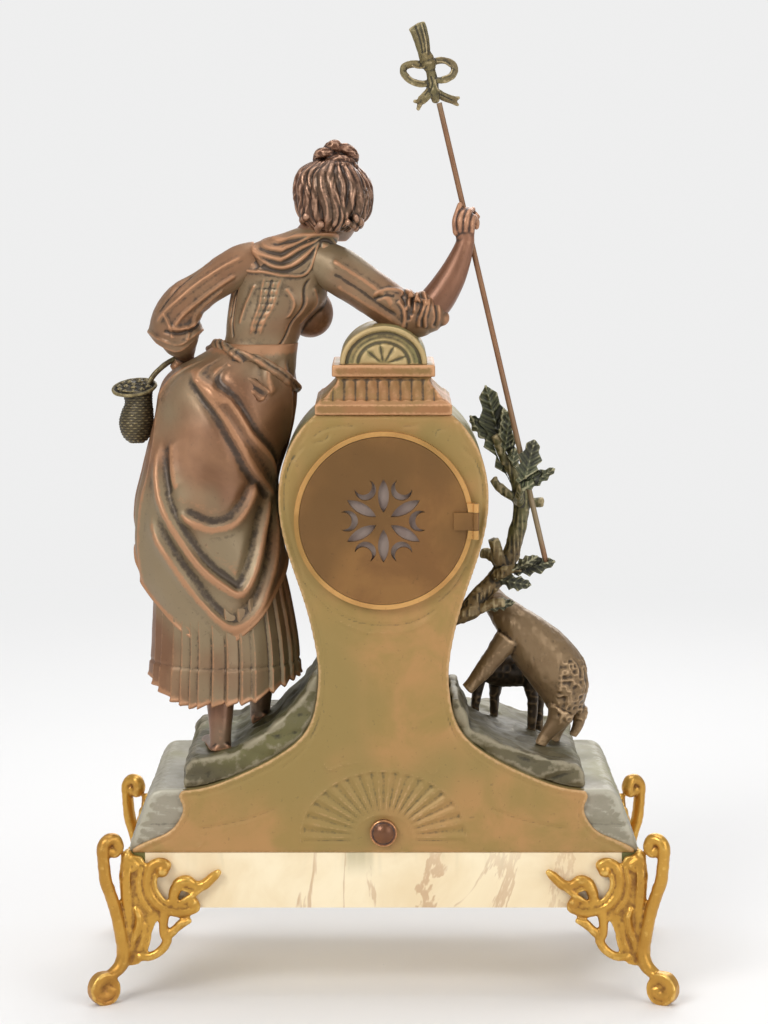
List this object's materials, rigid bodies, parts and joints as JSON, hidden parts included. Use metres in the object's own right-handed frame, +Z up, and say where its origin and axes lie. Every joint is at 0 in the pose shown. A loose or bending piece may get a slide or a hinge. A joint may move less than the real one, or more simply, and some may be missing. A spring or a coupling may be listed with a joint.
{
  "type": "figural mantel clock",
  "caption": "Mantel clock in a patinated metal case on a footed marble slab, with a leaning shepherdess, an oak branch, sheep and a striking movement.",
  "frame": {"origin": "on the floor, under the middle of the four feet", "axes": "+Z up; +Y toward the dial side; the movement door faces -Y; +X to the right when the movement door is faced"},
  "size_m": [0.343, 0.1776, 0.5629],
  "materials": {
    "marble": "polished",
    "case_bronze": "satin patina",
    "figure_bronze": "satin patina",
    "gilt": "satin",
    "door_brass": "aged",
    "movement_brass": "polished",
    "steel": "brushed",
    "blued_steel": "gloss",
    "dial_white": "gloss",
    "glass": "clear",
    "stone_bronze": "satin patina"
  },
  "bodies": {
    "clock": {"back_plate": "movement_brass", "base_fasteners": "steel", "basket": "figure_bronze", "bell": "movement_brass", "bell_standard": "movement_brass", "case_back_panel": "case_bronze", "case_base": "case_bronze", "case_cornice": "case_bronze", "case_pediment": "case_bronze", "case_shell": "case_bronze", "corner_blocks": "case_bronze", "dial": "dial_white", "ewe": "stone_bronze", "foot_front_left": "gilt", "foot_front_right": "gilt", "foot_rear_left": "gilt", "foot_rear_right": "gilt", "front_plate": "movement_brass", "front_seat_ring": "door_brass", "hair": "figure_bronze", "head": "figure_bronze", "hinge_pins": "steel", "lamb": "stone_bronze", "left_arm": "figure_bronze", "legs_shoes": "figure_bronze", "marble_slab": "marble", "movement_straps": "steel", "oak_branches": "stone_bronze", "oak_leaves": "stone_bronze", "overskirt": "figure_bronze", "panel_knob": "figure_bronze", "pillars": "movement_brass", "rear_bezel": "door_brass", "right_arm": "figure_bronze", "right_hand": "figure_bronze", "rock_left": "stone_bronze", "rock_right": "stone_bronze", "staff_finial": "stone_bronze", "staff_rod": "figure_bronze", "suspension_cock": "movement_brass", "torso_bodice": "figure_bronze", "underskirt": "figure_bronze"},
    "rear_door": {"rear_door": "door_brass", "door_backing": "steel"},
    "front_bezel": {"front_bezel": "door_brass", "front_glass": "glass"},
    "centre_arbor": {"centre_wheel": "movement_brass", "minute_hand": "blued_steel"},
    "hour_arbor": {"hour_wheel": "movement_brass", "hour_hand": "blued_steel"},
    "minute_wheel": {"minute_wheel": "movement_brass"},
    "time_barrel": {"time_barrel": "movement_brass"},
    "third_wheel": {"third_wheel": "movement_brass"},
    "escape_wheel": {"escape_wheel": "movement_brass"},
    "pendulum": {"anchor": "movement_brass", "pendulum_rod": "movement_brass", "pendulum_bob": "movement_brass"},
    "pin_wheel": {"pin_wheel": "movement_brass"},
    "strike_barrel": {"strike_barrel": "movement_brass"},
    "hammer": {"hammer": "steel"}
  },
  "joints": [
    {"name": "rear_door_hinge", "type": "hinge", "parent": "clock", "child": "rear_door", "pos_m": [0.0525, -0.0792, 0.28166], "axis": [0, 0, 1], "range_deg": [0, 120]},
    {"name": "front_bezel_hinge", "type": "hinge", "parent": "clock", "child": "front_bezel", "pos_m": [-0.0536, 0.0124, 0.28166], "axis": [0, 0, 1], "range_deg": [0, 110]},
    {"name": "centre_spin", "type": "hinge", "parent": "clock", "child": "centre_arbor", "pos_m": [0, -0.014, 0.28166], "axis": [0, -1, 0], "continuous": true},
    {"name": "hour_spin", "type": "hinge", "parent": "clock", "child": "hour_arbor", "pos_m": [0, -0.014, 0.28166], "axis": [0, -1, 0], "continuous": true},
    {"name": "minute_wheel_spin", "type": "hinge", "parent": "clock", "child": "minute_wheel", "pos_m": [0, -0.014, 0.29566], "axis": [0, -1, 0], "continuous": true},
    {"name": "time_barrel_spin", "type": "hinge", "parent": "clock", "child": "time_barrel", "pos_m": [-0.01973, -0.014, 0.27448], "axis": [0, -1, 0], "continuous": true},
    {"name": "third_wheel_spin", "type": "hinge", "parent": "clock", "child": "third_wheel", "pos_m": [-0.009, -0.014, 0.29239], "axis": [0, -1, 0], "continuous": true},
    {"name": "escape_wheel_spin", "type": "hinge", "parent": "clock", "child": "escape_wheel", "pos_m": [-0.0027, -0.014, 0.3033], "axis": [0, -1, 0], "continuous": true},
    {"name": "pendulum_swing", "type": "hinge", "parent": "clock", "child": "pendulum", "pos_m": [0, -0.014, 0.31466], "axis": [0, 1, 0], "range_deg": [-4, 4]},
    {"name": "strike_barrel_spin", "type": "hinge", "parent": "clock", "child": "strike_barrel", "pos_m": [0.01973, -0.014, 0.27448], "axis": [0, -1, 0], "continuous": true},
    {"name": "pin_wheel_spin", "type": "hinge", "parent": "clock", "child": "pin_wheel", "pos_m": [0.01609, -0.014, 0.29516], "axis": [0, -1, 0], "continuous": true},
    {"name": "hammer_swing", "type": "hinge", "parent": "clock", "child": "hammer", "pos_m": [0.033, -0.014, 0.28966], "axis": [0, 1, 0], "range_deg": [0, 12], "stiffness_Nm_per_rad": 0.01}
  ],
  "couplings": [
    {"joint": "hour_spin", "follows": "centre_spin", "ratio": 0.083333},
    {"joint": "minute_wheel_spin", "follows": "centre_spin", "ratio": -0.33333},
    {"joint": "time_barrel_spin", "follows": "centre_spin", "ratio": -0.16667},
    {"joint": "third_wheel_spin", "follows": "centre_spin", "ratio": -6},
    {"joint": "escape_wheel_spin", "follows": "centre_spin", "ratio": 36},
    {"joint": "pin_wheel_spin", "follows": "strike_barrel_spin", "ratio": -6}
  ]
}
